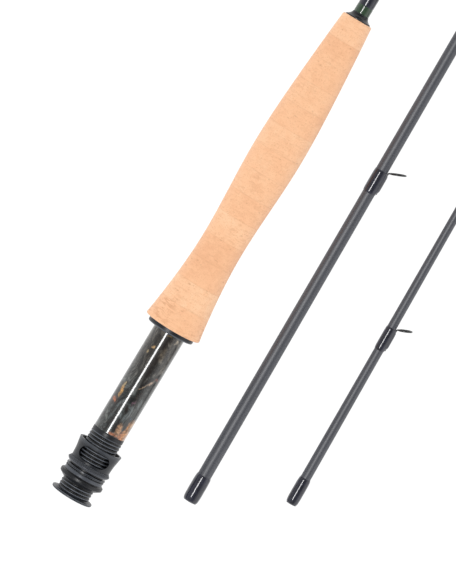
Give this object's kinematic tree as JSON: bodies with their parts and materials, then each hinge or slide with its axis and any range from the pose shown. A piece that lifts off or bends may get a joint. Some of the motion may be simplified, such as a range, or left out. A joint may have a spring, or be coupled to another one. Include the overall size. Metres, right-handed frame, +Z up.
{
  "type": "fly fishing rod",
  "caption": "Fly rod taken apart: butt section with cork grip and screw-locked reel seat, middle section and tip section with sockets and wire line guides.",
  "frame": {"origin": "middle of the butt cap's end face", "axes": "+X along the butt section's axis, from the butt cap towards its upper end; +Z up from the surface that the sections lie on; the middle and tip sections lie on the -Y side"},
  "size_m": [0.7978, 0.1145, 0.0292],
  "materials": {
    "black_anodised": "satin anodised black",
    "washer_black": "satin black",
    "spring_steel": "spring steel",
    "marbled_resin": "polished marbled resin, dark grey green with copper flecks",
    "arbor_board": "plain",
    "cork": "sanded cork",
    "graphite": "unsanded graphite, matte with fine bands",
    "green_thread": "green thread under clear varnish",
    "wrap_varnish": "near-black thread under clear varnish",
    "guide_wire": "dark chromed wire",
    "ceramic": "polished black ceramic"
  },
  "bodies": {
    "butt_section": {"butt_cap": "black_anodised", "threaded_barrel": "black_anodised", "fixed_hood": "black_anodised", "winding_check": "black_anodised", "reel_seat_insert": "marbled_resin", "barrel_arbor": "arbor_board", "insert_arbor": "arbor_board", "cork_ring_01": "cork", "cork_ring_02": "cork", "cork_ring_03": "cork", "cork_ring_04": "cork", "cork_ring_05": "cork", "cork_ring_06": "cork", "cork_ring_07": "cork", "cork_ring_08": "cork", "cork_ring_09": "cork", "cork_ring_10": "cork", "cork_ring_11": "cork", "cork_ring_12": "cork", "cork_ring_13": "cork", "cork_ring_14": "cork", "butt_blank": "graphite", "trim_band": "green_thread", "butt_wrap": "wrap_varnish", "stripping_guide_rear_wrap": "wrap_varnish", "stripping_guide_front_wrap": "wrap_varnish", "stripping_guide_frame": "guide_wire", "stripping_guide_liner": "ceramic"},
    "hood": {"sliding_hood": "black_anodised", "snap_ring": "spring_steel"},
    "hood_nut": {"tightening_nut": "black_anodised"},
    "jam_slider": {"jam_washer": "washer_black"},
    "jam_screw": {"jam_nut": "black_anodised"},
    "middle_section": {"mid_blank": "graphite", "mid_ferrule_wrap": "wrap_varnish", "mid_guide_1_wrap": "wrap_varnish", "mid_guide_2_wrap": "wrap_varnish", "mid_guide_3_wrap": "wrap_varnish", "mid_guide_4_wrap": "wrap_varnish", "mid_guide_1": "guide_wire", "mid_guide_2": "guide_wire", "mid_guide_3": "guide_wire", "mid_guide_4": "guide_wire"},
    "tip_section": {"tip_blank": "graphite", "tip_ferrule_wrap": "wrap_varnish", "tip_top_wrap": "wrap_varnish", "tip_guide_1_wrap": "wrap_varnish", "tip_guide_2_wrap": "wrap_varnish", "tip_guide_3_wrap": "wrap_varnish", "tip_guide_4_wrap": "wrap_varnish", "tip_guide_5_wrap": "wrap_varnish", "tip_top": "guide_wire", "tip_guide_1": "guide_wire", "tip_guide_2": "guide_wire", "tip_guide_3": "guide_wire", "tip_guide_4": "guide_wire", "tip_guide_5": "guide_wire"}
  },
  "joints": [
    {"name": "hood_travel", "type": "slide", "parent": "butt_section", "child": "hood", "axis": [1, 0, 0], "range_m": [0, 0.015]},
    {"name": "tightening_nut_turn", "type": "hinge", "parent": "hood", "child": "hood_nut", "pos_m": [0.0162, 0, 0], "axis": [1, 0, 0], "range_deg": [0, 3086]},
    {"name": "jam_washer_travel", "type": "slide", "parent": "butt_section", "child": "jam_slider", "axis": [1, 0, 0], "range_m": [-0.005, 0]},
    {"name": "jam_nut_turn", "type": "hinge", "parent": "jam_slider", "child": "jam_screw", "pos_m": [0.01027, 0, 0], "axis": [1, 0, 0], "range_deg": [-1029, 0]},
    {"name": "middle_section_lift", "type": "slide", "parent": "butt_section", "child": "middle_section", "axis": [0, 0, 1], "range_m": [0, 0.1]},
    {"name": "tip_section_lift", "type": "slide", "parent": "butt_section", "child": "tip_section", "axis": [0, 0, 1], "range_m": [0, 0.1]}
  ],
  "couplings": [
    {"joint": "tightening_nut_turn", "follows": "hood_travel", "rad_per_m": 3590.4},
    {"joint": "jam_nut_turn", "follows": "jam_washer_travel", "rad_per_m": 3590.4}
  ]
}
